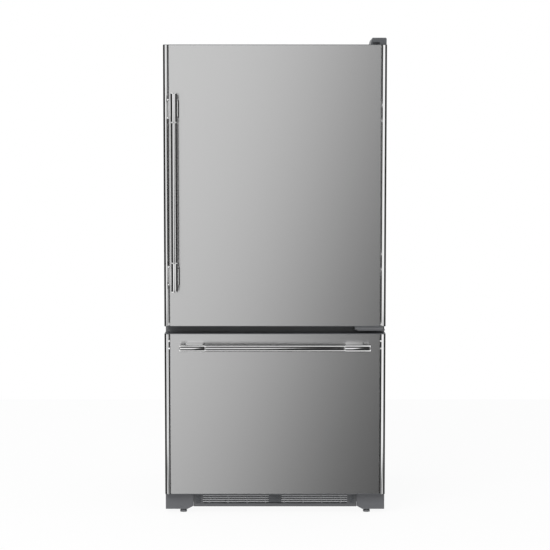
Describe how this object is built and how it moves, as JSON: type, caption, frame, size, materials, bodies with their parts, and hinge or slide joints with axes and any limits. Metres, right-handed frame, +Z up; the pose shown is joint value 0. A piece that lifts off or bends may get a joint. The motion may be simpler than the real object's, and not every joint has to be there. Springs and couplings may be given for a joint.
{
  "type": "bottom freezer refrigerator",
  "caption": "Free-standing upright refrigerator with a hinged fridge door above a pull-out freezer drawer, bar handles, shelves, crispers and a toe grille.",
  "frame": {"origin": "on the floor, under the middle of the object's bounding box", "axes": "+Z up, -Y towards the front (the doors' skins), +X to the right as seen from the front"},
  "size_m": [0.826, 0.836, 1.781],
  "materials": {
    "wrapper_paint": "satin",
    "galvanised": "matte",
    "brushed_steel": "satin",
    "polished_trim": "polished",
    "handle_satin": "satin",
    "dark_plastic": "matte",
    "grille_plastic": "matte",
    "white_plastic": "satin",
    "foam": "matte",
    "clear_plastic": "gloss",
    "shelf_glass": "gloss",
    "gasket_rubber": "matte",
    "hinge_steel": "satin",
    "compressor_black": "satin",
    "coil_tube": "satin",
    "roller_plastic": "matte",
    "foot_plastic": "matte"
  },
  "bodies": {
    "cabinet": {"cabinet_wrapper": "wrapper_paint", "mullion_rail": "wrapper_paint", "back_panel": "galvanised", "fridge_liner": "white_plastic", "freezer_liner": "white_plastic", "insulation_foam": "foam", "base_frame": "galvanised", "leg_brackets": "hinge_steel", "toe_grille": "grille_plastic", "compressor": "compressor_black", "condenser_coil": "coil_tube", "drain_pan": "dark_plastic", "fan_shroud": "dark_plastic", "machine_cover": "galvanised", "evaporator_coil": "coil_tube", "evaporator_cover": "white_plastic", "air_duct": "white_plastic", "shelf_tracks": "galvanised", "shelf_frames": "white_plastic", "shelf_glass": "shelf_glass", "control_box": "white_plastic", "lamp_lens": "clear_plastic", "top_hinge": "hinge_steel", "hinge_cover": "dark_plastic", "center_hinge": "hinge_steel", "cabinet_rails": "galvanised"},
    "fridge_door": {"fridge_door_skin": "brushed_steel", "fridge_door_trims": "polished_trim", "fridge_door_caps": "dark_plastic", "fridge_door_liner": "white_plastic", "fridge_door_foam": "foam", "fridge_door_gasket": "gasket_rubber", "fridge_handle_bar": "handle_satin", "fridge_handle_ends": "polished_trim", "door_bins": "clear_plastic", "dairy_bin": "clear_plastic"},
    "freezer_drawer": {"freezer_front_skin": "brushed_steel", "freezer_front_trims": "polished_trim", "freezer_front_caps": "dark_plastic", "freezer_front_liner": "white_plastic", "freezer_front_foam": "foam", "freezer_front_gasket": "gasket_rubber", "freezer_handle_bar": "handle_satin", "freezer_handle_ends": "polished_trim", "drawer_frame": "galvanised", "lower_basket": "white_plastic"},
    "dairy_lid": {"dairy_lid": "clear_plastic"},
    "upper_basket": {"upper_basket": "white_plastic"},
    "middle_rails": {"middle_rails": "galvanised"},
    "crisper_left": {"crisper_left": "clear_plastic"},
    "crisper_right": {"crisper_right": "clear_plastic"},
    "fridge_knob": {"fridge_knob": "white_plastic"},
    "freezer_knob": {"freezer_knob": "white_plastic"},
    "light_switch": {"light_switch": "white_plastic"},
    "condenser_fan": {"condenser_fan": "dark_plastic"},
    "evaporator_fan": {"evaporator_fan": "dark_plastic"},
    "rear_roller_left": {"rear_roller_left": "roller_plastic"},
    "rear_roller_right": {"rear_roller_right": "roller_plastic"},
    "level_foot_left": {"level_foot_left": "foot_plastic"},
    "level_foot_right": {"level_foot_right": "foot_plastic"}
  },
  "joints": [
    {"name": "fridge_door_hinge", "type": "hinge", "parent": "cabinet", "child": "fridge_door", "pos_m": [0.392, -0.327, 1.2], "axis": [0, 0, 1], "range_deg": [0, 130]},
    {"name": "dairy_lid_hinge", "type": "hinge", "parent": "fridge_door", "child": "dairy_lid", "pos_m": [0, -0.179, 1.627], "axis": [1, 0, 0], "range_deg": [0, 85]},
    {"name": "freezer_drawer_slide", "type": "slide", "parent": "cabinet", "child": "freezer_drawer", "axis": [0, -1, 0], "range_m": [0, 0.45]},
    {"name": "middle_rails_slide", "type": "slide", "parent": "cabinet", "child": "middle_rails", "axis": [0, -1, 0], "range_m": [0, 0.225]},
    {"name": "upper_basket_slide", "type": "slide", "parent": "freezer_drawer", "child": "upper_basket", "axis": [0, 1, 0], "range_m": [0, 0.15]},
    {"name": "crisper_left_slide", "type": "slide", "parent": "cabinet", "child": "crisper_left", "axis": [0, -1, 0], "range_m": [0, 0.17]},
    {"name": "crisper_right_slide", "type": "slide", "parent": "cabinet", "child": "crisper_right", "axis": [0, -1, 0], "range_m": [0, 0.17]},
    {"name": "fridge_knob_turn", "type": "hinge", "parent": "cabinet", "child": "fridge_knob", "pos_m": [-0.11, -0.14, 1.69], "axis": [0, 1, 0], "range_deg": [-140, 140]},
    {"name": "freezer_knob_turn", "type": "hinge", "parent": "cabinet", "child": "freezer_knob", "pos_m": [0.11, -0.14, 1.69], "axis": [0, 1, 0], "range_deg": [-140, 140]},
    {"name": "light_switch_press", "type": "slide", "parent": "cabinet", "child": "light_switch", "axis": [0, 1, 0], "range_m": [0, 0.003], "stiffness_N_per_m": 400, "springref_m": -0.004},
    {"name": "condenser_fan_spin", "type": "hinge", "parent": "cabinet", "child": "condenser_fan", "pos_m": [-0.03, 0.284, 0.138], "axis": [1, 0, 0], "continuous": true},
    {"name": "evaporator_fan_spin", "type": "hinge", "parent": "cabinet", "child": "evaporator_fan", "pos_m": [0, 0.32, 0.58], "axis": [0, 1, 0], "continuous": true},
    {"name": "rear_roller_left_spin", "type": "hinge", "parent": "cabinet", "child": "rear_roller_left", "pos_m": [-0.397, 0.363, 0.022], "axis": [1, 0, 0], "continuous": true},
    {"name": "rear_roller_right_spin", "type": "hinge", "parent": "cabinet", "child": "rear_roller_right", "pos_m": [0.397, 0.363, 0.022], "axis": [1, 0, 0], "continuous": true},
    {"name": "level_foot_left_travel", "type": "slide", "parent": "cabinet", "child": "level_foot_left", "axis": [0, 0, -1], "range_m": [0, 0.015]},
    {"name": "level_foot_right_travel", "type": "slide", "parent": "cabinet", "child": "level_foot_right", "axis": [0, 0, -1], "range_m": [0, 0.015]}
  ],
  "couplings": [
    {"joint": "middle_rails_slide", "follows": "freezer_drawer_slide", "ratio": 0.5}
  ]
}
